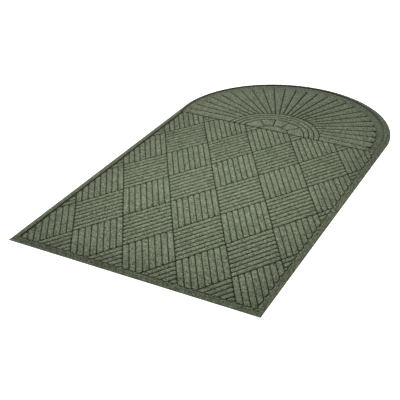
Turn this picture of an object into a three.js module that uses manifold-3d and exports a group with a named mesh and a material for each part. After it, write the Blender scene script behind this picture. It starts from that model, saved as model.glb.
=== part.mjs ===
// An entrance mat with one round end, pressed in one piece from needle-punched carpet.
// Its field is a parquet of leaning blocks, eight ribs to a block, and its round end is a fan.
// The blank is pressed down to the groove floor inside its border, and every rib stands on that.
// Millimetres, +Z up, +Y towards the round end, origin at the middle of the underside.

import * as THREE from "three";
import { mergeGeometries, mergeVertices } from "three/addons/utils/BufferGeometryUtils.js";
import Module from "manifold-3d";

const wasm = await Module();
wasm.setup();

// Outline, with distances along the mat counted from its straight edge
const WIDTH = 890;
const ROUND_END_CENTRE = 1203.8;
const ROUND_END_RADIUS = 446.6; // a little over half the width, which leaves a slight shoulder
const ROUND_END_STEPS = 48;
const LENGTH = ROUND_END_CENTRE + ROUND_END_RADIUS;
const STRAIGHT_EDGE = -LENGTH / 2;

// Heights above the floor
const EDGE_HEIGHT = 3;
const RIB_TOP = 8;
const GROOVE_FLOOR = 5.2;
const BAND_TOP = 5.8; // the plain band between the fan's ray ends and the border
const ROOT = 4.2; // pads start inside the blank

// Grooves by their full width, border by its distance from the outer edge
const GROOVE_MOUTH = 6;
const GROOVE_FLAT = 3;
const BORDER = 23; // to the middle of the groove inside it
const LEFT_BORDER = 27; // the field starts later on its left, so the groove is wider there
const BEVEL = 19;

// Parquet field
const BLOCK_HALF_WIDTH = 96.3;
const BLOCK_HALF_LENGTH = 158.1;
const FIRST_BLOCK = 131.7; // centre of the middle column's first block
const FIELD_ASIDE = 2.6; // the middle column lies this far right of the centreline
const RIBS_PER_BLOCK = 8;
const SMALLEST_PAD = 60; // in square millimetres of top, where the border cuts a rib off

// Fan
const FAN_BASE = 1137.3; // the groove across the mat that the fan stands on
const RAY_CENTRE = 1185.5;
const RAY_ASIDE = -6.3; // the rays meet this far left of the centreline
const RAY_REACH = 403;
const RAY_STEP = THREE.MathUtils.degToRad(7.31);
const RAY_TURN = THREE.MathUtils.degToRad(1.06); // the whole fan stands turned to the right
const RAY_GROOVES = 26;
const RAY_CORNER = 14; // how far a ray's two outer corners are rounded
const RAY_CORNER_STEPS = 4;
const BAND_LAP = 3; // the band runs this far in under the ray ends

// Hub of the fan: four arcs, and a ring of five stones round a low half-oval
const HUB_CENTRE = 1109.1;
const HUB_ASIDE = -2.7;
const HUB_ARCS = [134.4, 155.4, 175.5, 196.2];
const STONE_ARC = 70.5;
const STONE_STEP = THREE.MathUtils.degToRad(27.1);
const STONES = 5;
const ARC_STEPS = 28;
const STONE_STEPS = 6;

const across = (fromEdge) => STRAIGHT_EDGE + fromEdge;
const RAYS_MEET = new THREE.Vector2(RAY_ASIDE, across(RAY_CENTRE));
const HUB_MIDDLE = new THREE.Vector2(HUB_ASIDE, across(HUB_CENTRE));

// A plan point by its distance from a middle, and its turn from straight ahead.
function polar(middle, distance, turn) {
  const offset = new THREE.Vector2(Math.sin(turn), Math.cos(turn)).multiplyScalar(distance);
  return offset.add(middle);
}

// How far a pad's wall stands inside its plan cell at a height.
function wallInset(z) {
  const slope = (GROOVE_MOUTH - GROOVE_FLAT) / 2 / (RIB_TOP - GROOVE_FLOOR);
  return GROOVE_FLAT / 2 + (z - GROOVE_FLOOR) * slope;
}

// A closed skin through loops of equal length, each { points, z }, rising and counter-clockwise.
function lofted(loops) {
  const count = loops[0].points.length;
  const positions = loops.flatMap(({ points, z }) => points.flatMap((p) => [p.x, p.y, z]));
  const index = [];
  for (let loop = 0; loop < loops.length - 1; loop++) {
    const low = loop * count;
    const high = low + count;
    for (let i = 0; i < count; i++) {
      const j = (i + 1) % count;
      index.push(low + i, low + j, high + j, low + i, high + j, high + i);
    }
  }
  for (const [a, b, c] of THREE.ShapeUtils.triangulateShape(loops[0].points, [])) {
    index.push(a, c, b);
  }
  const top = (loops.length - 1) * count;
  for (const [a, b, c] of THREE.ShapeUtils.triangulateShape(loops.at(-1).points, [])) {
    index.push(top + a, top + b, top + c);
  }
  const geometry = new THREE.BufferGeometry();
  geometry.setAttribute("position", new THREE.Float32BufferAttribute(positions, 3));
  geometry.setIndex(index);
  return geometry;
}

// A raised pad, from a function that gives its plan cell drawn in by an inset.
function pad(planAt, top) {
  return lofted([ROOT, top].map((z) => ({ points: planAt(wallInset(z)), z })));
}

// The mat's outline, drawn in by the same distance all round.
function outline(inset) {
  const half = WIDTH / 2 - inset;
  const radius = ROUND_END_RADIUS - inset;
  const shoulder = Math.acos(half / radius);
  const points = [
    new THREE.Vector2(-half, across(inset)),
    new THREE.Vector2(half, across(inset)),
  ];
  for (let i = 0; i <= ROUND_END_STEPS; i++) {
    const turn = shoulder + (i / ROUND_END_STEPS) * (Math.PI - 2 * shoulder);
    const y = across(ROUND_END_CENTRE) + radius * Math.sin(turn);
    points.push(new THREE.Vector2(radius * Math.cos(turn), y));
  }
  return points;
}

// The pressed blank: an upright edge, a bevelled border, and the groove floor inside it.
function blank() {
  const profile = [
    { inset: 0, z: 0 },
    { inset: 0, z: EDGE_HEIGHT },
    { inset: BEVEL, z: RIB_TOP },
    { inset: BORDER - GROOVE_MOUTH / 2, z: RIB_TOP },
    { inset: BORDER - GROOVE_FLAT / 2, z: GROOVE_FLOOR },
  ];
  return lofted(profile.map(({ inset, z }) => ({ points: outline(inset), z })));
}

// A line of the plan, as the unit normal to its left side and the distance along that.
function line(point, direction) {
  const normal = new THREE.Vector2(-direction.y, direction.x).normalize();
  return { normal, offset: normal.dot(point) };
}

// The lines along the sides of a counter-clockwise polygon.
function sidesOf(corners) {
  return corners.map((corner, i) => line(corner, corners[(i + 1) % corners.length].clone().sub(corner)));
}

// Where two lines meet, once both have moved to their left by the inset.
function crossing(a, b, inset) {
  const turn = a.normal.cross(b.normal);
  const aOffset = a.offset + inset;
  const bOffset = b.offset + inset;
  const x = (aOffset * b.normal.y - bOffset * a.normal.y) / turn;
  const y = (bOffset * a.normal.x - aOffset * b.normal.x) / turn;
  return new THREE.Vector2(x, y);
}

// Where a line, moved to its left by the inset, leaves a circle about a middle.
// Way is 1 for the far end of the line and -1 for its near end.
function circleEnd({ normal, offset }, inset, middle, radius, way) {
  const aside = offset + inset - normal.dot(middle);
  const along = way * Math.sqrt(radius ** 2 - aside ** 2);
  const direction = new THREE.Vector2(normal.y, -normal.x);
  return middle.clone().addScaledVector(normal, aside).addScaledVector(direction, along);
}

// What bounds a convex cell once every line has moved in by the inset: its lines, cut in turn
// by each further line, in order round the cell.
function boundsOf(lines, cuts, inset) {
  let bounds = lines;
  for (const cut of cuts) {
    const corners = bounds.map((bound, i) => crossing(bounds.at(i - 1), bound, inset));
    const inside = corners.map((corner) => cut.normal.dot(corner) > cut.offset + inset);
    if (inside.every((kept) => kept)) continue;
    bounds = bounds.flatMap((bound, i) => {
      const endInside = inside[(i + 1) % inside.length];
      if (inside[i]) return endInside ? [bound] : [bound, cut];
      return endInside ? [bound] : [];
    });
  }
  return bounds;
}

// A pad on a convex cell, or none where the cuts leave too little of it.
function cutPads(lines, cuts) {
  const bounds = boundsOf(lines, cuts, wallInset(RIB_TOP));
  const planAt = (inset) => bounds.map((bound, i) => crossing(bounds.at(i - 1), bound, inset));
  if (bounds.length < 3) return [];
  if (THREE.ShapeUtils.area(planAt(wallInset(RIB_TOP))) < SMALLEST_PAD) return [];
  return [pad(planAt, RIB_TOP)];
}

// The parquet's ribs. Columns of blocks take turns at ribs that fall and ribs that rise.
function parquet() {
  const rising = new THREE.Vector2(BLOCK_HALF_WIDTH, BLOCK_HALF_LENGTH);
  const falling = new THREE.Vector2(BLOCK_HALF_WIDTH, -BLOCK_HALF_LENGTH);
  const left = LEFT_BORDER - WIDTH / 2;
  const right = WIDTH / 2 - BORDER;
  const field = sidesOf([
    new THREE.Vector2(left, across(BORDER)),
    new THREE.Vector2(right, across(BORDER)),
    new THREE.Vector2(right, across(FAN_BASE)),
    new THREE.Vector2(left, across(FAN_BASE)),
  ]);
  const columns = Math.ceil((WIDTH / 2 + FIELD_ASIDE) / BLOCK_HALF_WIDTH);
  const rows = Math.ceil(FAN_BASE / BLOCK_HALF_LENGTH);
  const pads = [];
  for (let column = -columns; column <= columns; column++) {
    const ribsFall = column % 2 === 0;
    const lower = ribsFall ? falling : falling.clone().divideScalar(RIBS_PER_BLOCK);
    const upper = ribsFall ? rising.clone().divideScalar(RIBS_PER_BLOCK) : rising;
    for (let row = -1; row <= rows; row++) {
      if ((column + row) % 2 !== 0) continue;
      const x = FIELD_ASIDE + (column - 1) * BLOCK_HALF_WIDTH;
      const corner = new THREE.Vector2(x, across(FIRST_BLOCK + row * BLOCK_HALF_LENGTH));
      for (let rib = 0; rib < RIBS_PER_BLOCK; rib++) {
        const a = corner.clone().addScaledVector(ribsFall ? upper : lower, rib);
        const b = a.clone().add(lower);
        const c = b.clone().add(upper);
        const d = a.clone().add(upper);
        pads.push(...cutPads(sidesOf([a, b, c, d]), field));
      }
    }
  }
  return pads;
}

// A corner rounded off, from a point on the side before it to one on the side after it.
function roundedCorner(before, corner, after) {
  const reach = (end) => {
    const side = end.clone().sub(corner);
    return side.setLength(Math.min(RAY_CORNER, 0.45 * side.length())).add(corner);
  };
  const curve = new THREE.QuadraticBezierCurve(reach(before), corner, reach(after));
  return curve.getPoints(RAY_CORNER_STEPS);
}

// A ray of the fan between two lines: one that runs out on its right and one that runs back.
function ray(out, back) {
  const hub = HUB_ARCS.at(-1);
  return pad((inset) => {
    const outInner = circleEnd(out, inset, HUB_MIDDLE, hub + inset, 1);
    const outOuter = circleEnd(out, inset, RAYS_MEET, RAY_REACH, 1);
    const backOuter = circleEnd(back, inset, RAYS_MEET, RAY_REACH, -1);
    const backInner = circleEnd(back, inset, HUB_MIDDLE, hub + inset, -1);
    return [
      outInner,
      ...roundedCorner(outInner, outOuter, backOuter),
      ...roundedCorner(outOuter, backOuter, backInner),
      backInner,
    ];
  }, RIB_TOP);
}

// The fan's rays. The lowest on each side stands on the fan's base instead of a ray line.
function rays() {
  const base = line(new THREE.Vector2(0, across(FAN_BASE)), new THREE.Vector2(1, 0));
  const outward = [];
  const inward = [base];
  for (let i = 0; i < RAY_GROOVES; i++) {
    const turn = (i - (RAY_GROOVES - 1) / 2) * RAY_STEP + RAY_TURN;
    const direction = new THREE.Vector2(Math.sin(turn), Math.cos(turn));
    outward.push(line(RAYS_MEET, direction));
    inward.push(line(RAYS_MEET, direction.clone().negate()));
  }
  outward.push(base);
  return outward.map((out, i) => ray(out, inward[i]));
}

// The plain band between the ray ends and the border, a step lower than the ribs.
function band() {
  const inner = RAY_REACH - BAND_LAP;
  return pad((inset) => {
    const rise = across(FAN_BASE) + inset - across(RAY_CENTRE);
    const end = Math.acos(rise / inner);
    const half = WIDTH / 2 - BORDER - inset;
    const points = [new THREE.Vector2(half, across(FAN_BASE) + inset)];
    points.push(...outline(BORDER + inset).slice(2));
    points.push(new THREE.Vector2(-half, across(FAN_BASE) + inset));
    for (let i = 0; i <= ROUND_END_STEPS; i++) {
      points.push(polar(RAYS_MEET, inner, end * ((2 * i) / ROUND_END_STEPS - 1)));
    }
    return points;
  }, BAND_TOP);
}

// A pad between two arcs about the hub's centre and two turns. The fan's base cuts it off where
// the turns reach below that, and with no inner arc it closes along the base.
function hubPad(inner, outer, from, to, steps) {
  return pad((inset) => {
    const arc = (radius) => {
      const atBase = Math.acos((FAN_BASE + inset - HUB_CENTRE) / radius);
      const low = Math.max(from + Math.asin(inset / radius), -atBase);
      const high = Math.min(to - Math.asin(inset / radius), atBase);
      const turns = Array.from({ length: steps + 1 }, (_, i) => low + (i / steps) * (high - low));
      return turns.map((turn) => polar(HUB_MIDDLE, radius, turn));
    };
    const near = inner > 0 ? arc(inner + inset) : [];
    return [...near, ...arc(outer - inset).reverse()];
  }, RIB_TOP);
}

// The hub inside the rays: its half-oval, the stones round that, and the rings round the stones.
function hub() {
  const half = Math.PI / 2;
  const pads = [hubPad(0, STONE_ARC, -half, half, ARC_STEPS / 2)];
  for (let stone = 0; stone < STONES; stone++) {
    const from = stone === 0 ? -half : (stone - STONES / 2) * STONE_STEP;
    const to = stone === STONES - 1 ? half : (stone + 1 - STONES / 2) * STONE_STEP;
    pads.push(hubPad(STONE_ARC, HUB_ARCS[0], from, to, STONE_STEPS));
  }
  for (let ring = 1; ring < HUB_ARCS.length; ring++) {
    pads.push(hubPad(HUB_ARCS[ring - 1], HUB_ARCS[ring], -half, half, ARC_STEPS));
  }
  return pads;
}

// A closed geometry as a solid that can be joined and cut.
function solid(geometry) {
  const bare = mergeVertices(geometry, 1e-4);
  return new wasm.Manifold(
    new wasm.Mesh({
      numProp: 3,
      vertProperties: bare.attributes.position.array,
      triVerts: new Uint32Array(bare.index.array),
    }),
  );
}

// The whole mat as one solid.
function mat() {
  const ribs = mergeGeometries([...parquet(), ...rays(), ...hub()]);
  const { vertProperties, triVerts } = solid(blank()).add(solid(band())).add(solid(ribs)).getMesh();
  const geometry = new THREE.BufferGeometry();
  geometry.setAttribute("position", new THREE.BufferAttribute(vertProperties, 3));
  geometry.setIndex(new THREE.BufferAttribute(triVerts, 1));
  const faceted = geometry.toNonIndexed();
  faceted.computeVertexNormals();
  return faceted;
}

// Sage green fibre with beige flecks, matt
const CARPET = new THREE.MeshStandardMaterial({ color: "#737b68", roughness: 0.95, metalness: 0 });

const part = new THREE.Group();
const carpet = new THREE.Mesh(mat(), CARPET);
carpet.name = "mat";
part.add(carpet);

export default part;
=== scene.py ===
# %% [markdown]
# # An entrance mat with one round end
#
# The object is a floor mat for a doorway: one piece of needle-punched carpet on a rubber
# backing, pressed hot in a mould so that ribs stand up from it in a pattern.  Its field is a
# parquet of leaning blocks, eight ribs to a block, and its round end is a fan.  This script
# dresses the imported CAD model: the CAD solid keeps the sizes, and here the same plan is drawn
# again with rounded ribs, a soft border and a fibre finish.

import math

import bpy
import numpy as np
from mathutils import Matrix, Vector
from mathutils.geometry import delaunay_2d_cdt


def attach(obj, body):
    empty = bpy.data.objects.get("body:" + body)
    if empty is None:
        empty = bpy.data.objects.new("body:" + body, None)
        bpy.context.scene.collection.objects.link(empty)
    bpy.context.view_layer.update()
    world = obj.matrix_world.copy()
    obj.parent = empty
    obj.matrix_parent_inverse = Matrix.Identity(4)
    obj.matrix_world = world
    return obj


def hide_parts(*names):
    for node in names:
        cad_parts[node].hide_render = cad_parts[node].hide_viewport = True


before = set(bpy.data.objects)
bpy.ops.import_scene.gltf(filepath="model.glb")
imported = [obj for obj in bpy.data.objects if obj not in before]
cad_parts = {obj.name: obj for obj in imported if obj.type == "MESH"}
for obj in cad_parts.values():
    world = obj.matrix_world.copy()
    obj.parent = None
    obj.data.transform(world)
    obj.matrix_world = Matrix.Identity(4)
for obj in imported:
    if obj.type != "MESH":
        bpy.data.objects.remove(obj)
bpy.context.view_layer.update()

# %% [markdown]
# ## Sizes
#
# All plan work is done in millimetres and turned to metres when a mesh is made.  Lengths along
# the mat are counted from its straight edge, as a fitter would with a tape, and STRAIGHT_EDGE
# moves them into the frame, whose origin is the middle of the underside.  The real mat isn't
# quite symmetrical: a name that ends in ASIDE is a distance to the right of its middle.

# %% Sizes of the mat, in millimetres
MM = 0.001
WIDTH = 890.0
ROUND_END_CENTRE = 1203.8
ROUND_END_RADIUS = 446.6
LENGTH = ROUND_END_CENTRE + ROUND_END_RADIUS
STRAIGHT_EDGE = -LENGTH / 2

RIB_TOP = 8.0
GROOVE_FLOOR = 5.2
RISE = RIB_TOP - GROOVE_FLOOR
BAND_TOP = 5.8
print(f"the mat is {WIDTH:.0f} mm wide and {LENGTH:.0f} mm long")

# %% Sizes of the parquet
FIELD_INSET = 21.6
LEFT_INSET = 29.2
BLOCK_HALF_WIDTH = 96.3
BLOCK_HALF_LENGTH = 158.1
FIRST_BLOCK = 131.7
FIELD_ASIDE = 2.6
RIBS_PER_BLOCK = 8
# Half of a groove's flat floor, and how far a rib's side rounds over above it
GROOVE_HALF = 0.9
SHOULDER = 4.6

# %% Sizes of the fan and its hub
FAN_BASE = 1137.3
BASE_GROOVE_HALF = 2.6
BASE_SHOULDER = 1.6
BASE_LAP = 0.3

RAY_CENTRE = 1185.5
RAY_REACH = 403.0
RAY_STEP = math.radians(7.31)
RAY_ASIDE = -6.3
RAY_TURN = math.radians(1.06)
RAY_GROOVES = 26
RAY_GROOVE_HALF = 1.7
RAY_SHOULDER = 3.4

HUB_CENTRE = 1109.1
HUB_ASIDE = -2.7
HUB_ARCS = [134.4, 155.4, 175.5, 196.2]
HUB_GROOVE_HALF = 1.6
HUB_SHOULDER = 2.4
STONE_ARC = 70.5
STONE_STEP = math.radians(27.1)
STONES = 5

# %% [markdown]
# ## How the top is made
#
# A rib on the real mat has a flat core where the mould didn't press, and a shoulder that rounds
# down into the groove.  So each rib is described by its core, a flat polygon in plan, and the
# height of any point depends only on how far it lies from the nearest core: that is the relief.
# One could model each rib as its own little block, but hundreds of blocks standing on a floor
# aren't one skin.  Instead the top is drawn like a map.  Contour lines run round every core,
# a Delaunay triangulation stretches one skin over all of them, and the relief lifts its points.
#
# The first helpers cut convex plan shapes, which is what the mould's straight lines do.


# %% Plan helpers: cut a polygon with a line, and draw a cell in by a distance
def clip(polygon, normal, offset):
    """What is left of a convex polygon where normal . point >= offset: its corners there, and a
    new corner wherever a side crosses the line, at the share height / (height - next height)."""
    height = polygon @ normal - offset
    following, next_height = np.roll(polygon, -1, axis=0), np.roll(height, -1)
    crosses = height * next_height < 0
    fall = np.where(crosses, height - next_height, 1.0)
    crossing = polygon + (height / fall)[:, None] * (following - polygon)
    points = np.stack([polygon, crossing], axis=1).reshape(-1, 2)
    return points[np.stack([height >= 0, crosses], axis=1).ravel()]


def sides(polygon):
    """For each side of a counter-clockwise polygon, the unit normal that points inwards and the
    distance of the side along it: the side's direction turned left by a quarter."""
    along = np.roll(polygon, -1, axis=0) - polygon
    normal = np.stack([-along[:, 1], along[:, 0]], axis=1)
    normal /= np.linalg.norm(normal, axis=1, keepdims=True)
    return list(zip(normal, (normal * polygon).sum(axis=1)))


def drawn_in(cell, walls, inset):
    """A convex cell with every side moved inwards by inset, then cut in the same way by the
    walls of the field that it lies in."""
    for normal, offset in sides(cell) + walls:
        if len(cell) < 3:
            break
        cell = clip(cell, normal, offset + inset)
    return cell


def area(polygon):
    """The shoelace formula: half the sum of the cross products of neighbouring corners."""
    x, y = polygon.T
    return 0.5 * float((x * np.roll(y, -1) - np.roll(x, -1) * y).sum())


# %% [markdown]
# ## The parquet
#
# The blocks of the parquet stand on a diamond lattice.  A block is a parallelogram whose sides
# run along the rising and the falling direction of that lattice, and its eight ribs divide it
# one way.  Columns take turns: in one the ribs fall to the right, in the next they rise.  All
# the cells come from one array expression, and those at the edges are cut by the field's walls.

# %% Cells of the parquet
# Columns -5 to 5 and rows -1 to 8 of the lattice cover the whole field
column, row, rib = np.meshgrid(
    np.arange(-5, 6), np.arange(-1, 9), np.arange(RIBS_PER_BLOCK), indexing="ij"
)
on_lattice = (column + row) % 2 == 0
column, row, rib = column[on_lattice], row[on_lattice], rib[on_lattice]
ribs_fall = (column % 2 == 0)[:, None]
rising = np.array([BLOCK_HALF_WIDTH, BLOCK_HALF_LENGTH])
falling = np.array([BLOCK_HALF_WIDTH, -BLOCK_HALF_LENGTH])
lower = np.where(ribs_fall, falling, falling / RIBS_PER_BLOCK)
upper = np.where(ribs_fall, rising / RIBS_PER_BLOCK, rising)
left_corner = np.stack(
    [
        FIELD_ASIDE + (column - 1) * BLOCK_HALF_WIDTH,
        STRAIGHT_EDGE + FIRST_BLOCK + row * BLOCK_HALF_LENGTH,
    ],
    axis=1,
)
start = left_corner + rib[:, None] * np.where(ribs_fall, upper, lower)
cells = np.stack([start, start + lower, start + lower + upper, start + upper], axis=1)
print(f"{len(cells)} cells on the lattice")

# %% Cores of the ribs
# The field's far wall lies past the fan's base line, so that the base line is what cuts there
FIELD_OVERRUN = 9.0
# A rib that the border cuts to a small nub gets half the shoulder, and rises to 0.8
RIB_FORMS = [(SHOULDER, RISE), (0.5 * SHOULDER, 0.8 * RISE)]
# A nub with a smaller core than this, in square millimetres, is left out
SMALLEST_CORE = 6.0

half_field = WIDTH / 2 - FIELD_INSET
base_line = STRAIGHT_EDGE + FAN_BASE
field = np.array(
    [
        (LEFT_INSET - WIDTH / 2, STRAIGHT_EDGE + FIELD_INSET),
        (half_field, STRAIGHT_EDGE + FIELD_INSET),
        (half_field, base_line + FIELD_OVERRUN),
        (LEFT_INSET - WIDTH / 2, base_line + FIELD_OVERRUN),
    ]
)
field_walls = sides(field)

# Each pad is (core polygon, reach of its shoulder, height of its rise, pressing of its top)
# A top's pressing darkens it, partly as painted shade
pads = []
for cell in cells:
    for shoulder, rise in RIB_FORMS:
        core = drawn_in(cell, field_walls, GROOVE_HALF + shoulder)
        if len(core) > 2:
            core = clip(core, np.array([0.0, -1.0]), BASE_LAP - base_line)
        if len(core) > 2 and area(core) > SMALLEST_CORE:
            pads.append((core, shoulder, rise, 0.0))
            break
print(f"{len(pads)} ribs in the field")

# %% [markdown]
# ## The fan
#
# The rays of the fan run out from a point a little above the groove that it stands on.  The
# groove lines are 7.31 degrees apart, so a ray is a wedge between two of them, from the hub's
# outermost ring to its round outer corners.  The lowest ray on each side lies on the base
# groove instead.  The real fan isn't quite in the middle: its rays meet 6.3 mm to the left, and
# it is turned by 1.06 degrees.  The tops of the rays that point ahead are a little darker, a
# painted shade towards the far end.
#
# The hub is drawn from its own centre, which is lower: three arched rings, five stones like
# those over an old doorway, and a low half-oval.


# %% Fan helpers: a place by its turn, the end of a line on a circle, and round corners
def turned(centre, distance, turn):
    """A plan point at a distance from a centre, turned from straight ahead: centre + distance *
    (sin(turn), cos(turn))."""
    direction = np.stack([np.sin(turn), np.cos(turn)], axis=-1)
    return centre + np.asarray(distance)[..., None] * direction


def line_end(point, direction, inset, centre, radius):
    """Where a line that has moved to its left by inset leaves a circle: along it from the foot
    of the perpendicular by sqrt(radius^2 - distance^2)."""
    normal = np.array([-direction[1], direction[0]])
    aside = (point - centre) @ normal + inset
    return centre + aside * normal + math.sqrt(radius**2 - aside**2) * direction


def rounded(polygon, reach):
    """Each corner replaced by the curve (1-t)^2 a + 2t(1-t) corner + t^2 b, where a and b lie
    on the side before the corner and the side after it, as far away as reach says."""

    def towards(neighbour, distance):
        along = neighbour - polygon
        return polygon + distance[:, None] * along / np.linalg.norm(along, axis=1, keepdims=True)

    before = towards(np.roll(polygon, 1, axis=0), reach[:, 0])
    after = towards(np.roll(polygon, -1, axis=0), reach[:, 1])
    t = np.linspace(0, 1, 6)[None, :, None]
    curve = (1 - t) ** 2 * before[:, None] + 2 * t * (1 - t) * polygon[:, None]
    return (curve + t**2 * after[:, None]).reshape(-1, 2)


# %% Cores of the rays
# A ray's core stops 0.6 of a shoulder short of its reach.  Its outer corners are rounded over
# 17 mm of its sides and nearly half of its end, and its inner ones over half a millimetre.
RAY_STOP = RAY_REACH - 0.6 * RAY_SHOULDER
RAY_CORNER = 17.0
RAY_TIP = 0.48
RAY_FOOT = 0.5
# How much painted shade darkens the top of a ray that points straight ahead, towards the far end
RAY_TOP_SHADE = 0.24

RAY_INSET = RAY_GROOVE_HALF + RAY_SHOULDER
fan_base = (np.array([0.0, base_line + BASE_LAP - RAY_INSET]), np.array([1.0, 0.0]))
ray_centre = np.array([RAY_ASIDE, STRAIGHT_EDGE + RAY_CENTRE])
hub_centre = np.array([HUB_ASIDE, STRAIGHT_EDGE + HUB_CENTRE])
hub = (hub_centre, HUB_ARCS[-1] + HUB_GROOVE_HALF + RAY_SHOULDER)
end = (ray_centre, RAY_STOP)
for ray in range(RAY_GROOVES + 1):
    turns = (np.array([ray, ray - 1]) - (RAY_GROOVES - 1) / 2) * RAY_STEP + RAY_TURN
    out, back = [(ray_centre, np.array([math.sin(t), math.cos(t)])) for t in turns]
    if ray == RAY_GROOVES:
        out = fan_base
    if ray == 0:
        back = (fan_base[0], -fan_base[1])
    corners = np.array(
        [
            line_end(*out, RAY_INSET, *hub),
            line_end(*out, RAY_INSET, *end),
            line_end(*back, -RAY_INSET, *end),
            line_end(*back, -RAY_INSET, *hub),
        ]
    )
    tip = RAY_TIP * np.linalg.norm(corners[1] - corners[2])
    foot = (RAY_FOOT, RAY_FOOT)
    reach = np.array([foot, (RAY_CORNER, tip), (tip, RAY_CORNER), foot])
    ahead_shade = RAY_TOP_SHADE * math.cos(turns.mean()) ** 2
    pads.append((rounded(corners, reach), RAY_SHOULDER, RISE, ahead_shade))
print(f"{RAY_GROOVES + 1} rays in the fan")

# %% Cores of the hub
HUB_INSET = HUB_GROOVE_HALF + HUB_SHOULDER
QUARTER = math.pi / 2


def hub_core(inner, outer, low, high, steps):
    """A polygon between two arcs about the hub's centre and between two turns, drawn in all
    round.  Drawing a side in by a distance moves its turn by asin(distance / radius), and the
    fan's base stops it at acos(height of the base above the centre / radius).  Without an inner
    arc the base closes it."""

    def arc(radius):
        at_base = math.acos((FAN_BASE + BASE_LAP - HUB_CENTRE) / radius)
        edge = math.asin(HUB_INSET / radius)
        first, last = max(low + edge, -at_base), min(high - edge, at_base)
        return turned(hub_centre, radius, np.linspace(first, last, steps))

    near = [arc(inner + HUB_INSET)] if inner else []
    return np.concatenate([*near, arc(outer - HUB_INSET)[::-1]])


hub_cores = [hub_core(0, STONE_ARC, -QUARTER, QUARTER, steps=24)]
for stone in range(STONES):
    low = -QUARTER if stone == 0 else (stone - STONES / 2) * STONE_STEP
    high = QUARTER if stone == STONES - 1 else (stone + 1 - STONES / 2) * STONE_STEP
    hub_cores.append(hub_core(STONE_ARC, HUB_ARCS[0], low, high, steps=8))
for inner, outer in zip(HUB_ARCS, HUB_ARCS[1:]):
    hub_cores.append(hub_core(inner, outer, -QUARTER, QUARTER, steps=40))
pads += [(core, HUB_SHOULDER, RISE, 0.0) for core in hub_cores]
print(f"{len(pads)} raised pads with the fan and its hub")

# %% [markdown]
# ## The outline, the border and the plain band
#
# The border rises from a thin edge to the height of the ribs.  It is one profile carried along
# the outline, and the outline drawn in by a distance stays a straight edge, two sides and an
# arc.  Beside the field the border's fill ends in small rounds that follow the ribs, but on the
# left it ends in a straight foot, with a wider groove.  In the round end the groove is a ring
# between two circles about a centre of their own, 3 mm to the left and 5 mm nearer.
#
# Between the ring and the ray ends the mould left a plain band, a little lower than the ribs.
# It runs in under the ray ends, and a little less so on the right.

# %% Outline
ARC_STEPS = 112
SIDE_STEPS = 30
FRONT_STEPS = 22


def outline(inset):
    """The mat's outline drawn in by inset, counter-clockwise from the left near corner: the
    straight edge, the right side, the arc (radius - inset about its centre, between the turns
    where it meets the sides) and the left side."""
    half, radius = WIDTH / 2 - inset, ROUND_END_RADIUS - inset
    near, centre = STRAIGHT_EDGE + inset, STRAIGHT_EDGE + ROUND_END_CENTRE
    shoulder = math.acos(half / radius)
    top = centre + radius * math.sin(shoulder)
    along = np.linspace(-half, half, FRONT_STEPS + 1)
    up = np.linspace(near, top, SIDE_STEPS + 1)[1:-1]
    angle = np.linspace(shoulder, math.pi - shoulder, ARC_STEPS + 1)
    front = np.stack([along, np.full_like(along, near)], axis=1)
    right = np.stack([np.full_like(up, half), up], axis=1)
    arc = np.stack([radius * np.cos(angle), centre + radius * np.sin(angle)], axis=1)
    left = np.stack([np.full_like(up, -half), up[::-1]], axis=1)
    return np.concatenate([front, right, arc, left])


def edge_distance(points):
    """How far points lie in from the outline: the least of the distances to the sides, to the
    straight edge and, beyond the arc's centre, to the arc."""
    x, y = points.T
    beyond = y > STRAIGHT_EDGE + ROUND_END_CENTRE
    to_arc = ROUND_END_RADIUS - np.hypot(x, y - STRAIGHT_EDGE - ROUND_END_CENTRE)
    straight = np.minimum(WIDTH / 2 - np.abs(x), y - STRAIGHT_EDGE)
    return np.where(beyond, np.minimum(straight, to_arc), straight)


# %% Border profile and ring
# Distance in from the outer edge, the height there, and how far the pile is pressed, which
# darkens the bevel partly as pressed pile and partly as painted shade
BORDER_PROFILE = np.array(
    [
        (0.0, 1.6, 0.0),
        (0.4, 2.4, 0.0),
        (1.4, 3.1, 0.0),
        (6.0, 4.4, 0.25),
        (11.0, 6.1, 0.38),
        (15.0, 7.4, 0.42),
        (17.6, 7.95, 0.38),
    ]
)
# Outside this line the profile alone sets the height
THIN_EDGE = BORDER_PROFILE[3, 0]
BORDER_SHOULDER = 2.6
# How far in from the outline the border's fill may reach, and its foot on the left
FILL_LIMIT = 31.0
LEFT_LIMIT = 25.0

RING_CENTRE = np.array([-3.0, STRAIGHT_EDGE + ROUND_END_CENTRE - 5.0])
RING_OUTER = 428.4
RING_INNER = 423.0
RING_SHOULDER = 4.6
print(f"the border is {BORDER_PROFILE[-1, 0]:.1f} mm wide up to its highest line")

# %% Core of the band
BAND_SHOULDER = 8.0
BAND_PRESSING = 0.34
# How far the band's foot runs in under the ray ends, and how much less it does on the right
BAND_LAP = 7.0
BAND_GAP = 3.6
GAP_STARTS = 40
GAP_FULL = 65


def arc_above_base(centre, radius, steps, widening=0.0):
    """Points on a circle from where it leaves the fan's base on the left to where it comes back
    to it on the right: the turns run to acos(height of the base above the centre / radius).
    Between GAP_STARTS and GAP_FULL degrees to the right the radius grows by the widening."""
    end = math.acos((base_line + BASE_LAP - centre[1]) / (radius + widening))
    turn = np.linspace(-end, end, steps)
    share = np.clip((np.degrees(turn) - GAP_STARTS) / (GAP_FULL - GAP_STARTS), 0, 1)
    return turned(centre, radius + widening * share, turn)


band = np.concatenate(
    [
        arc_above_base(RING_CENTRE, RING_INNER - BAND_SHOULDER, 97)[::-1],
        arc_above_base(ray_centre, RAY_REACH - BAND_LAP + BAND_SHOULDER, 91, BAND_GAP),
    ]
)
pads.append((band, BAND_SHOULDER, BAND_TOP - GROOVE_FLOOR, BAND_PRESSING))
print(f"the plain band has {len(band)} corners round {area(band) / 100:.0f} square centimetres")

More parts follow.
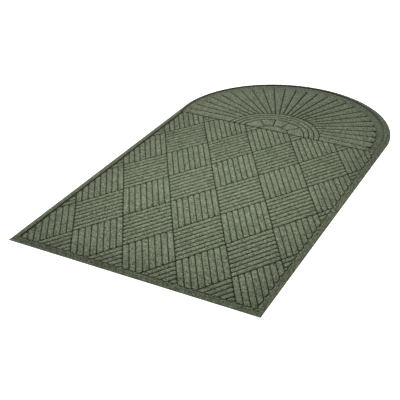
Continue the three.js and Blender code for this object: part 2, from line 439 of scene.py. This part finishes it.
# %% [markdown]
# ## Contour lines
#
# A contour at a distance outside a core is the core with every side moved out.  Round a corner
# the contour turns about the corner point, which is what a round-nosed cutter would leave.  The
# shoulder's section is a quarter of an ellipse, so contours are set where equal turns of that
# quarter fall, closer together where the side is steep.

# %% Contour helpers: a core moved out, a ring with more points, and pairs of neighbours
SHOULDER_TURNS = np.radians([0.0, 22.5, 45.0, 67.5, 90.0])
CORNER_STEPS = 4
SHARP = math.radians(20)


def grown(core, distance):
    """The outline at a distance outside a core.  A side moves out along its normal, a sharp
    corner becomes an arc of CORNER_STEPS points about itself, and a blunt one moves out along
    the mean of its two normals by distance / cos(half its turn)."""
    along = np.roll(core, -1, axis=0) - core
    after = np.stack([along[:, 1], -along[:, 0]], axis=1)
    after /= np.linalg.norm(after, axis=1, keepdims=True)
    before = np.roll(after, 1, axis=0)
    cross = before[:, 0] * after[:, 1] - before[:, 1] * after[:, 0]
    turn = np.arctan2(cross, (before * after).sum(axis=1))
    swept = (turn > SHARP) & (distance > 1e-3)
    steps = np.where(swept, CORNER_STEPS, 1)
    which = np.repeat(np.arange(len(core)), steps)
    place = np.arange(len(which)) - np.repeat(np.cumsum(steps) - steps, steps)
    share = np.where(swept[which], place / (CORNER_STEPS - 1), 0.5)[:, None]
    normal = (1 - share) * before[which] + share * after[which]
    normal /= np.linalg.norm(normal, axis=1, keepdims=True)
    reach = distance / np.where(swept, 1.0, np.cos(turn / 2))
    return core[which] + reach[which, None] * normal


def stepped(ring, step):
    """A ring with more points along its sides, so that no two are further apart than step."""
    along = np.roll(ring, -1, axis=0) - ring
    count = np.ceil(np.linalg.norm(along, axis=1) / step).astype(int)
    which = np.repeat(np.arange(len(ring)), count)
    place = np.arange(len(which)) - np.repeat(np.cumsum(count) - count, count)
    return ring[which] + (place / count[which])[:, None] * along[which]


def joined(line):
    """Pairs of neighbouring points along a closed line, the last with the first."""
    number = np.arange(len(line))
    return np.stack([number, np.roll(number, -1)], axis=1)


# %% Distance helpers: from one core, and from the nearest foot
# Feet further away than the search are all the same to the border's fill
SEARCH = 9.0
FAR_AWAY = 99.0


def signed_distance(points, core):
    """How far points lie outside a core, negative inside it: the least distance to its sides,
    with its sign from how often a line to the right crosses them."""
    a, b = core, np.roll(core, -1, axis=0)
    side = b - a
    to_point = points[:, None] - a
    share = np.clip((to_point * side).sum(axis=2) / (side**2).sum(axis=1), 0, 1)
    distance = np.linalg.norm(to_point - share[..., None] * side, axis=2).min(axis=1)
    level = (a[:, 1] > points[:, None, 1]) != (b[:, 1] > points[:, None, 1])
    slope = side[:, 0] / np.where(side[:, 1] == 0, 1.0, side[:, 1])
    right = points[:, None, 0] < a[:, 0] + (points[:, None, 1] - a[:, 1]) * slope
    inside = (level & right).sum(axis=1) % 2 == 1
    return np.where(inside, -distance, distance)


def foot_distance(points):
    """How far points lie outside the nearest rib's foot, which is its core and its shoulder."""
    distance = np.full(len(points), FAR_AWAY)
    for core, reach, rise, pressing_and_shade in pads:
        low, high = core.min(axis=0) - reach - SEARCH, core.max(axis=0) + reach + SEARCH
        near = np.flatnonzero(((points >= low) & (points <= high)).all(axis=1))
        if len(near):
            to_foot = signed_distance(points[near], core) - reach
            distance[near] = np.minimum(distance[near], to_foot)
    return distance


# %% Closed contours: the border's profile, and the shoulders of all pads
contours = [outline(inset) for inset in BORDER_PROFILE[:, 0]]
for core, shoulder, rise, pressing_and_shade in pads:
    contours += [grown(core, shoulder * math.cos(turn)) for turn in SHOULDER_TURNS]
edges = [joined(line) for line in contours]
print(f"{len(contours)} closed contour lines")

# %% Open contours: the base groove's two sides, the border's left foot, the ring's outer side
across = np.linspace(-half_field, half_field, 60)
along = np.linspace(STRAIGHT_EDGE + FILL_LIMIT, base_line, 80)
for turn in SHOULDER_TURNS:
    up = 1 - math.cos(turn)
    aside = BASE_GROOVE_HALF + BASE_SHOULDER * up
    left = LEFT_LIMIT - BORDER_SHOULDER * up - WIDTH / 2
    lines = [
        np.stack([across, np.full_like(across, base_line - aside)], axis=1),
        np.stack([across, np.full_like(across, base_line + aside)], axis=1),
        np.stack([np.full_like(along, left), along], axis=1),
        arc_above_base(RING_CENTRE, RING_OUTER + RING_SHOULDER * up, 113),
    ]
    contours += lines
    edges += [joined(line)[:-1] for line in lines]
print(f"{len(contours)} contour lines with the open ones")

# %% Contours of the border's fill
# The fill ends along lines that follow the ribs, drawn only where they face the border.  A core
# with more corners than a rib's isn't a rib.
RIB_CORNERS = 12
FILL_STEP = 3.0
CLEAR_OF_PROFILE = BORDER_PROFILE[-1, 0] + 0.5
SLACK = 0.05
for core, shoulder, rise, pressing_and_shade in pads:
    if edge_distance(core).min() > FILL_LIMIT + shoulder or len(core) > RIB_CORNERS:
        continue
    for turn in SHOULDER_TURNS:
        away = shoulder + 2 * GROOVE_HALF + BORDER_SHOULDER * (1 - math.cos(turn))
        ring = stepped(grown(core, away), FILL_STEP)
        edge = edge_distance(ring)
        kept = (edge > CLEAR_OF_PROFILE) & (edge < FILL_LIMIT)
        kept &= foot_distance(ring) > away - shoulder - SLACK
        number = np.cumsum(kept) - 1
        pair = kept & np.roll(kept, -1)
        contours.append(ring[kept])
        edges.append(np.stack([number, np.roll(number, -1)], axis=1)[pair])
print(f"{len(contours)} contour lines with {sum(map(len, contours))} points")

# %% [markdown]
# ## The skin
#
# The triangulation takes every contour as a line that its triangles may not cross.  Its faces
# come back counter-clockwise seen from above, so they point up.

# %% Stretch one skin over all contours
plan = np.concatenate(contours)
first = np.cumsum([0] + [len(line) for line in contours[:-1]])
constraints = np.concatenate([pairs + start for pairs, start in zip(edges, first)])
skin = delaunay_2d_cdt(plan.tolist(), constraints.tolist(), [], 1, 1e-5, False)
skin_plan = np.array([tuple(v) for v in skin[0]])
skin_faces = np.array(skin[2])
print(f"{len(skin_plan)} points and {len(skin_faces)} triangles in the skin of the top")

# %% [markdown]
# ## How deep the mould pressed
#
# The relief gives every point of the plan its height, and how far the pile is pressed there,
# from 0 on a rib to 1 on the floor of a groove.  The height makes the form.  The pressing stays
# on the points as an attribute that the carpet's material reads, so colour and form can't come
# apart.  It darkens the carpet partly as pressed pile and partly as painted shade, deepest in
# the grooves, where shade falls.  The painted shade is uneven by direction, as the light falls:
# the ring, the floors between the rays and the groove on the left get a little less of it, and
# the border on the left a little more.


# %% Relief of the pads
def quarter(away):
    """How high a quarter circle of radius 1 stands at a distance from its middle: sqrt(1 -
    away^2), with the distance held between 0 and 1."""
    return np.sqrt(1 - np.clip(away, 0, 1) ** 2)


def pads_relief(points):
    """Height and pressing by the pads.  Outside a core the shoulder falls as a quarter of an
    ellipse, floor + rise * sqrt(1 - (distance / reach)^2), and the pressing grows by the same
    share, from the pad's own to 1.  The base groove cuts all pads: beside it the height stays
    under the same quarter, turned to face it."""
    height = np.full(len(points), GROOVE_FLOOR)
    pressed_and_shaded = np.ones(len(points))
    for core, reach, rise, pressing_and_shade in pads:
        low, high = core.min(axis=0) - reach, core.max(axis=0) + reach
        near = ((points >= low) & (points <= high)).all(axis=1)
        near = np.flatnonzero(near & ((points[:, 1] > base_line) == (low[1] + reach > base_line)))
        share = quarter(signed_distance(points[near], core) / reach)
        height[near] = np.maximum(height[near], GROOVE_FLOOR + rise * share)
        pressed_and_shaded[near] = np.minimum(pressed_and_shaded[near], 1 - (1 - pressing_and_shade) * share)
    to_base = np.abs(points[:, 1] - base_line)
    share = quarter(1 - (to_base - BASE_GROOVE_HALF) / BASE_SHOULDER)
    return np.minimum(height, GROOVE_FLOOR + RISE * share), np.maximum(pressed_and_shaded, 1 - share)


# %% Where the painted shade is capped
# The most painted shade on the ring, by the turn from straight ahead to the right: most ahead,
# less on the left and least on the right, as the light falls
RING_SHADE_CAP = np.array(
    [(-90.0, 0.92), (-40.0, 0.94), (15.0, 1.0), (35.0, 0.9), (60.0, 0.72), (90.0, 0.6)]
)
RING_STARTS = RAY_REACH + 1.0
# The floors between rays that point ahead get less painted shade by this share
RAY_FLOOR_SHADE_EASE = 0.12
RAYS_START = HUB_ARCS[-1] + 3.0
# The most painted shade in the groove on the left, and the strip that it lies in
LEFT_SHADE_CAP = 0.9
LEFT_STRIP = LEFT_INSET + 6.0 - WIDTH / 2


def shade_capped(points, pressed_and_shaded):
    """The darkening of the pile, partly painted shade, capped in three places: on the ring by its
    turn, on the floors between the rays at 1 - ease * cos(turn)^2, and in the groove on the left."""
    from_ring = points - RING_CENTRE
    turn = np.arctan2(from_ring[:, 0], from_ring[:, 1])
    from_rays = np.linalg.norm(points - ray_centre, axis=1)
    from_hub = np.linalg.norm(points - hub_centre, axis=1)
    in_fan = points[:, 1] > base_line
    past_groove = points[:, 1] > base_line - BASE_GROOVE_HALF - BASE_SHOULDER
    on_ring = past_groove & (from_rays > RING_STARTS)
    in_rays = in_fan & (from_hub > RAYS_START) & (from_rays < RAY_REACH)
    on_left = ~in_fan & (points[:, 0] < LEFT_STRIP)
    caps = (
        (on_ring, np.interp(np.degrees(turn), *RING_SHADE_CAP.T)),
        (in_rays, 1 - RAY_FLOOR_SHADE_EASE * np.cos(turn) ** 2),
        (on_left, LEFT_SHADE_CAP),
    )
    for where, most in caps:
        pressed_and_shaded = np.where(where, np.minimum(pressed_and_shaded, most), pressed_and_shaded)
    return pressed_and_shaded


# %% The whole relief
# The border on the left gets more painted shade by this share, fading over the last 80 mm to the
# fan
LEFT_BEVEL_SHADE = 0.12
BEVEL_FADE = 80.0
# To the left of this line the border ends in its straight foot
FAR_LEFT = -0.4 * WIDTH


def relief(points):
    """Height and pressing of the pile.  The border follows its profile, and at its inner side
    it falls by a quarter of an ellipse: to the ring in the fan, and to the ribs' feet or its
    limit beside the field.  Where the profile lies under the grooves' floor it stays as it is."""
    height, pressed_and_shaded = pads_relief(points)
    pressed_and_shaded = shade_capped(points, pressed_and_shaded)
    edge = edge_distance(points)
    to_limit = np.where(points[:, 0] < FAR_LEFT, LEFT_LIMIT, FILL_LIMIT) - edge
    fill = np.minimum(foot_distance(points) - 2 * GROOVE_HALF, to_limit)
    ring = np.linalg.norm(points - RING_CENTRE, axis=1) - RING_OUTER
    inner = np.where(points[:, 1] > base_line, ring / RING_SHOULDER, fill / BORDER_SHOULDER)
    share = quarter(1 - inner)
    bevel = np.interp(edge, *BORDER_PROFILE[:, :2].T)
    pressing_and_shade = np.interp(edge, *BORDER_PROFILE[:, ::2].T)
    beside_field = np.clip((base_line - points[:, 1]) / BEVEL_FADE, 0, 1)
    pressing_and_shade = pressing_and_shade + LEFT_BEVEL_SHADE * beside_field * (points[:, 0] < 0)
    rise = np.maximum(bevel - GROOVE_FLOOR, 0) * share + np.minimum(bevel - GROOVE_FLOOR, 0)
    height = np.where(share > 0, np.maximum(height, GROOVE_FLOOR + rise), height)
    height = np.where(edge < THIN_EDGE, bevel, height)
    pressing_and_shade = 1 - (1 - pressing_and_shade) * share
    pressed_and_shaded = np.where(share > 0, np.minimum(pressed_and_shaded, pressing_and_shade), pressed_and_shaded)
    return height, pressed_and_shaded


skin_height, skin_pressed_and_shaded = relief(skin_plan)
print(f"heights from {skin_height.min():.2f} to {skin_height.max():.2f} mm")

# %% [markdown]
# ## Closing the mat
#
# Below the rim of the carpet the rubber backing shows as a thin dark edge.  Two more rings
# carry the outline down to the floor, and one flat face closes the underside.  The triangles of
# the top are smooth shaded, because a pressed rib has no crease along its shoulder.

# %% The mat as one closed mesh
# The rings of the rubber: how far in from the outline, and how high
SIDE_RINGS = [(0.0, 0.5), (0.5, 0.0)]
rim_size = len(contours[0])
side_plan = [outline(inset) for inset, height in SIDE_RINGS]
side_height = [np.full(rim_size, height) for inset, height in SIDE_RINGS]
mat_points = np.column_stack(
    [np.concatenate([skin_plan, *side_plan]), np.concatenate([skin_height, *side_height])]
)
rim = np.arange(rim_size)
rings = [rim, len(skin_plan) + rim, len(skin_plan) + rim_size + rim]
side_faces = [
    np.stack([below, np.roll(below, -1), np.roll(above, -1), above], axis=1)
    for above, below in zip(rings, rings[1:])
]
faces = [*skin_faces.tolist(), *np.concatenate(side_faces).tolist(), rings[-1][::-1].tolist()]
mesh = bpy.data.meshes.new("pressed_carpet_mat")
mesh.from_pydata((mat_points * MM).tolist(), [], faces)
mesh.validate()
mat = bpy.data.objects.new("pressed_carpet_mat", mesh)
bpy.context.scene.collection.objects.link(mat)
print(f"{len(mesh.vertices)} points and {len(mesh.polygons)} faces in the mat")

# %% Pressing, material slots and smooth shading
CREASE = math.radians(80)
# This attribute darkens the carpet partly as pressed pile and partly as painted shade in the
# grooves
pressed_and_shaded = mesh.attributes.new("pressed_and_shaded", "FLOAT", "POINT")
pressed_and_shaded.data.foreach_set("value", np.concatenate([skin_pressed_and_shaded, np.ones(2 * rim_size)]))
in_rubber = np.arange(len(faces)) >= len(skin_faces)
mesh.polygons.foreach_set("material_index", in_rubber.astype(np.int32))
mesh.polygons.foreach_set("use_smooth", np.ones(len(faces), bool))
mesh.set_sharp_from_angle(angle=CREASE)
print(f"{in_rubber.sum()} faces are rubber")

# %% [markdown]
# ## The carpet's finish
#
# The carpet is needle-punched polypropylene, dyed in the fibre and mixed from several shades,
# which gives the heathered look: mostly sage, with darker green, beige and brown flecks.  The
# fibres are matt, and they felt together into small lumps.  Where the mould pressed them they
# lie closer, and less light gets in, so the pressed attribute darkens grooves and border, and
# it darkens them further as painted shade.  The field next to the border is painted darker too,
# as painted shade.  A picture of carpet could be laid over the mesh, but it would repeat, and it
# would stretch.


# %% Colour and node helpers
def linear(code):
    """An sRGB hex colour as linear red, green, blue and alpha: below 0.04045 divided by 12.92,
    else ((c + 0.055) / 1.055) ^ 2.4."""
    c = np.array([int(code[i : i + 2], 16) for i in (1, 3, 5)]) / 255
    return (*np.where(c <= 0.04045, c / 12.92, ((c + 0.055) / 1.055) ** 2.4), 1.0)


def node(tree, kind, settings=None, **inputs):
    """Adds a node.  settings are its properties, and inputs its sockets, each a value or
    another node's output.  A socket goes by its name, with underscores for spaces, or by an
    underscore and its number."""
    new = tree.nodes.new(kind)
    for name, value in (settings or {}).items():
        setattr(new, name, value)
    for name, value in inputs.items():
        socket = new.inputs[int(name[1:]) if name[1:].isdigit() else name.replace("_", " ")]
        if isinstance(value, bpy.types.NodeSocket):
            tree.links.new(value, socket)
        else:
            socket.default_value = value
    return new


def material(name):
    """A new material with an empty node tree."""
    new = bpy.data.materials.new(name)
    new.use_nodes = True
    new.node_tree.nodes.clear()
    return new, new.node_tree


# %% Lumps of fibre
# Felted lumps of fibre are 3 mm across, and each takes the shade of the fibres that show.
# Stray fibres reach up to 3 mm over into the next lump, so the lumps have no clean border.
FIBRE_SHADES = [
    (0.00, "#252E23"),
    (0.16, "#3E4B39"),
    (0.40, "#56634C"),
    (0.68, "#68735C"),
    (0.86, "#81846F"),
    (0.95, "#6C6356"),
]
carpet, tree = material("needle_punched_polypropylene_carpet")
place = node(tree, "ShaderNodeTexCoord").outputs["Object"]
stray = node(
    tree, "ShaderNodeTexNoise", Vector=place, Scale=1 / 0.0016, Detail=3.0, Roughness=0.7
)
stray = node(
    tree,
    "ShaderNodeVectorMath",
    {"operation": "MULTIPLY_ADD"},
    _0=stray.outputs["Color"],
    _1=(0.006, 0.006, 0.006),
    _2=place,
)
lump = node(
    tree, "ShaderNodeTexVoronoi", Vector=stray.outputs["Vector"], Scale=1 / 0.003, Randomness=1.0
)
shade = node(tree, "ShaderNodeSeparateColor", Color=lump.outputs["Color"])
fibre = node(tree, "ShaderNodeValToRGB", Fac=shade.outputs["Red"])
# The blend of shades drifts over 12 mm, as the web was laid
drift = node(
    tree, "ShaderNodeTexNoise", Vector=place, Scale=1 / 0.012, Detail=3.0, Roughness=0.6
)
drift = node(
    tree,
    "ShaderNodeMapRange",
    Value=drift.outputs["Fac"],
    From_Min=0.3,
    From_Max=0.7,
    To_Min=0.86,
    To_Max=1.175,
)
print(f"{len(FIBRE_SHADES)} shades of fibre")

# %% Pressed pile and painted shade in the grooves
# Pressing closes the pile, and painted shade darkens the grooves further: the share of light
# that comes back falls, and blue falls most
PRESSED_AND_SHADE_SHARES = [
    (0.0, (1.0, 1.0, 1.0)),
    (0.25, (0.89, 0.89, 0.89)),
    (0.5, (0.68, 0.68, 0.68)),
    (0.75, (0.42, 0.42, 0.39)),
    (1.0, (0.105, 0.10, 0.075)),
]
pressing_and_shade = node(tree, "ShaderNodeAttribute", {"attribute_name": "pressed_and_shaded"})
# This ramp darkens by pressing, partly as pressed pile and partly as painted shade
closed = node(tree, "ShaderNodeValToRGB", Fac=pressing_and_shade.outputs["Fac"])
print(f"a groove's floor gives back {PRESSED_AND_SHADE_SHARES[-1][1][1]:.2f} of the light of a rib")

# %% Distance from the outline
# It is the lesser of the distance to the straight edge and the one to the sides and the arc,
# which is radius - sqrt(x^2 + max(y - the arc's centre, 0)^2)
here = node(tree, "ShaderNodeSeparateXYZ", Vector=place)
beyond = node(
    tree,
    "ShaderNodeMath",
    {"operation": "SUBTRACT"},
    _0=here.outputs["Y"],
    _1=(STRAIGHT_EDGE + ROUND_END_CENTRE) * MM,
)
beyond = node(
    tree, "ShaderNodeMath", {"operation": "MAXIMUM"}, _0=beyond.outputs["Value"], _1=0.0
)
from_middle = node(
    tree, "ShaderNodeCombineXYZ", X=here.outputs["X"], Y=beyond.outputs["Value"]
)
from_middle = node(
    tree, "ShaderNodeVectorMath", {"operation": "LENGTH"}, _0=from_middle.outputs["Vector"]
)
to_side = node(
    tree,
    "ShaderNodeMath",
    {"operation": "SUBTRACT"},
    _0=ROUND_END_RADIUS * MM,
    _1=from_middle.outputs["Value"],
)
to_front = node(
    tree,
    "ShaderNodeMath",
    {"operation": "SUBTRACT"},
    _0=here.outputs["Y"],
    _1=STRAIGHT_EDGE * MM,
)
to_edge = node(
    tree,
    "ShaderNodeMath",
    {"operation": "MINIMUM"},
    _0=to_side.outputs["Value"],
    _1=to_front.outputs["Value"],
)
print(f"{len(tree.nodes)} nodes in the carpet so far")

# %% Painted shade towards the border
# The field is painted darker next to the border, as painted shade over its last 100 mm: the
# share of light that comes back, by the distance from the outline in millimetres
EDGE_SHADE_SHARES = [(0, 1.0), (19, 0.98), (28, 0.86), (50, 0.85), (75, 0.91), (100, 0.97), (120, 1.0)]
EDGE_REACH = EDGE_SHADE_SHARES[-1][0]
to_edge = node(
    tree,
    "ShaderNodeMath",
    {"operation": "DIVIDE"},
    _0=to_edge.outputs["Value"],
    _1=EDGE_REACH * MM,
)
edge_shade = node(tree, "ShaderNodeValToRGB", Fac=to_edge.outputs["Value"])
ramps = (
    (fibre, [(at, linear(code)) for at, code in FIBRE_SHADES]),
    (closed, PRESSED_AND_SHADE_SHARES),
    (edge_shade, [(at / EDGE_REACH, (share, share, share)) for at, share in EDGE_SHADE_SHARES]),
)
for ramp, stops in ramps:
    elements = ramp.color_ramp.elements
    for i, (at, colour) in enumerate(stops):
        stop = elements[i] if i < 2 else elements.new(at)
        stop.position, stop.color = at, (*colour[:3], 1.0)
print("stops of the three ramps:", [len(ramp.color_ramp.elements) for ramp, stops in ramps])

# %% Colour of the carpet
# The pressed share is partly painted shade, and the edge share is painted shade
closed = node(
    tree,
    "ShaderNodeVectorMath",
    {"operation": "MULTIPLY"},
    _0=closed.outputs["Color"],
    _1=edge_shade.outputs["Color"],
)
tint = node(
    tree,
    "ShaderNodeVectorMath",
    {"operation": "MULTIPLY"},
    _0=fibre.outputs["Color"],
    _1=closed.outputs["Vector"],
)
tint = node(
    tree,
    "ShaderNodeVectorMath",
    {"operation": "SCALE"},
    _0=tint.outputs["Vector"],
    Scale=drift.outputs["Result"],
)
print("the colour is fibre * pressed share * edge share * drift")

# %% Pile and surface of the carpet
# Fibres 0.6 mm thick stand every way, drawn coarser than their 0.05 mm so that they show
fibres = node(
    tree, "ShaderNodeTexNoise", Vector=place, Scale=1 / 0.0012, Detail=4.0, Roughness=0.7
)
pile = node(
    tree,
    "ShaderNodeMath",
    {"operation": "MULTIPLY_ADD"},
    _0=lump.outputs["Distance"],
    _1=-0.6,
    _2=fibres.outputs["Fac"],
)
bump = node(
    tree, "ShaderNodeBump", Strength=0.6, Distance=0.0012, Height=pile.outputs["Value"]
)
surface = node(
    tree,
    "ShaderNodeBsdfPrincipled",
    Base_Color=tint.outputs["Vector"],
    Roughness=0.95,
    IOR=1.49,
    Specular_IOR_Level=0.1,
    Normal=bump.outputs["Normal"],
)
node(tree, "ShaderNodeOutputMaterial", Surface=surface.outputs["BSDF"])
mesh.materials.append(carpet)
print(f"{len(tree.nodes)} nodes in the carpet")

# %% [markdown]
# ## The rubber backing
#
# The backing is nitrile rubber, moulded on in the same hot press: nearly black, a little
# greenish, and dull, with a fine grain from the mould.  It shows only as a thin line round the
# edge and on the underside, so one colour and a light bump are all that it needs.

# %% Rubber backing
rubber, tree = material("moulded_nitrile_rubber_backing")
place = node(tree, "ShaderNodeTexCoord").outputs["Object"]
# The grain is 1.5 mm, coarser than a mould's, so that it shows
grain = node(tree, "ShaderNodeTexNoise", Vector=place, Scale=1 / 0.0015, Detail=3.0)
bump = node(tree, "ShaderNodeBump", Strength=0.3, Distance=0.0003, Height=grain.outputs["Fac"])
surface = node(
    tree,
    "ShaderNodeBsdfPrincipled",
    Base_Color=linear("#2A2C28"),
    Roughness=0.7,
    IOR=1.52,
    Normal=bump.outputs["Normal"],
)
node(tree, "ShaderNodeOutputMaterial", Surface=surface.outputs["BSDF"])
mesh.materials.append(rubber)
print("materials on the mat:", [finish.name for finish in mesh.materials])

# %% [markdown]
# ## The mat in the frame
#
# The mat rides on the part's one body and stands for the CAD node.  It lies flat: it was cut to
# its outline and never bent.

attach(mat, "root")
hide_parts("mat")

# %% [markdown]
# ## Floor, light and camera
#
# A wide white floor carries the mat, and glows so that it stays an even white.  The key is a
# large soft light from far behind on the left, which rakes over the ribs and shades their
# grooves.  A small soft light close above lifts the middle of the field, and an even white
# world fills the rest.  The camera stands where the lattice of the parquet puts it: its lens
# and place follow from how the even diamonds shrink towards the round end.

# %% Floor
FLOOR_REACH = 30.0
# The floor lies 0.2 mm under the mat, so that the two faces never share a plane
FLOOR_LEVEL = -0.0002
white, tree = material("white_studio_floor")
surface = node(
    tree,
    "ShaderNodeBsdfPrincipled",
    Base_Color=(0.9, 0.9, 0.9, 1.0),
    Roughness=1.0,
    Specular_IOR_Level=0.0,
    Emission_Color=(1.0, 1.0, 1.0, 1.0),
    Emission_Strength=1.0,
)
node(tree, "ShaderNodeOutputMaterial", Surface=surface.outputs["BSDF"])
floor_mesh = bpy.data.meshes.new("studio_floor")
floor_plan = FLOOR_REACH * np.array([(-1, -1), (1, -1), (1, 1), (-1, 1)])
floor_mesh.from_pydata([(x, y, FLOOR_LEVEL) for x, y in floor_plan], [], [(0, 1, 2, 3)])
floor_mesh.materials.append(white)
floor = bpy.data.objects.new("studio_floor", floor_mesh)
bpy.context.scene.collection.objects.link(floor)
print(f"the floor is {2 * FLOOR_REACH:.0f} m wide")


# %% Lights
def soft_light(name, place, target, size, power, spread):
    """A square area light at a place, turned to face a target, whose beam spreads by an angle."""
    data = bpy.data.lights.new(name, "AREA")
    data.shape, data.size, data.energy, data.spread = "SQUARE", size, power, math.radians(spread)
    light = bpy.data.objects.new(name, data)
    light.location = place
    light.rotation_euler = (Vector(target) - Vector(place)).to_track_quat("-Z", "Y").to_euler()
    light.visible_camera = False
    bpy.context.scene.collection.objects.link(light)
    print(f"{name}: {power} W, {size} m wide")


soft_light("key_softbox", (-7.5, 7.2, 4.7), (0.3, -0.4, 0), size=2.0, power=195, spread=60)
above_field = (0.02, -0.24, 0.8)
soft_light("overhead_softbox", above_field, (0.02, -0.24, 0), size=0.5, power=5.7, spread=180)
world = bpy.data.worlds.new("studio")
world.use_nodes = True
world.node_tree.nodes["Background"].inputs["Color"].default_value = (1, 1, 1, 1)
world.node_tree.nodes["Background"].inputs["Strength"].default_value = 0.4
bpy.context.scene.world = world
bpy.context.scene.view_settings.view_transform = "Standard"

# %% Camera
eye = Vector((1.1823, -2.6255, 1.5032))
gaze = Vector((-0.39756, 0.7696, -0.49965))
lens = bpy.data.cameras.new("photo_camera")
lens.sensor_width, lens.lens = 36.0, 77.33
camera = bpy.data.objects.new("photo_camera", lens)
camera.location = eye
camera.rotation_euler = gaze.to_track_quat("-Z", "Y").to_euler()
bpy.context.scene.collection.objects.link(camera)
bpy.context.scene.camera = camera
print(f"the camera is {eye.length:.2f} m from the middle of the mat")
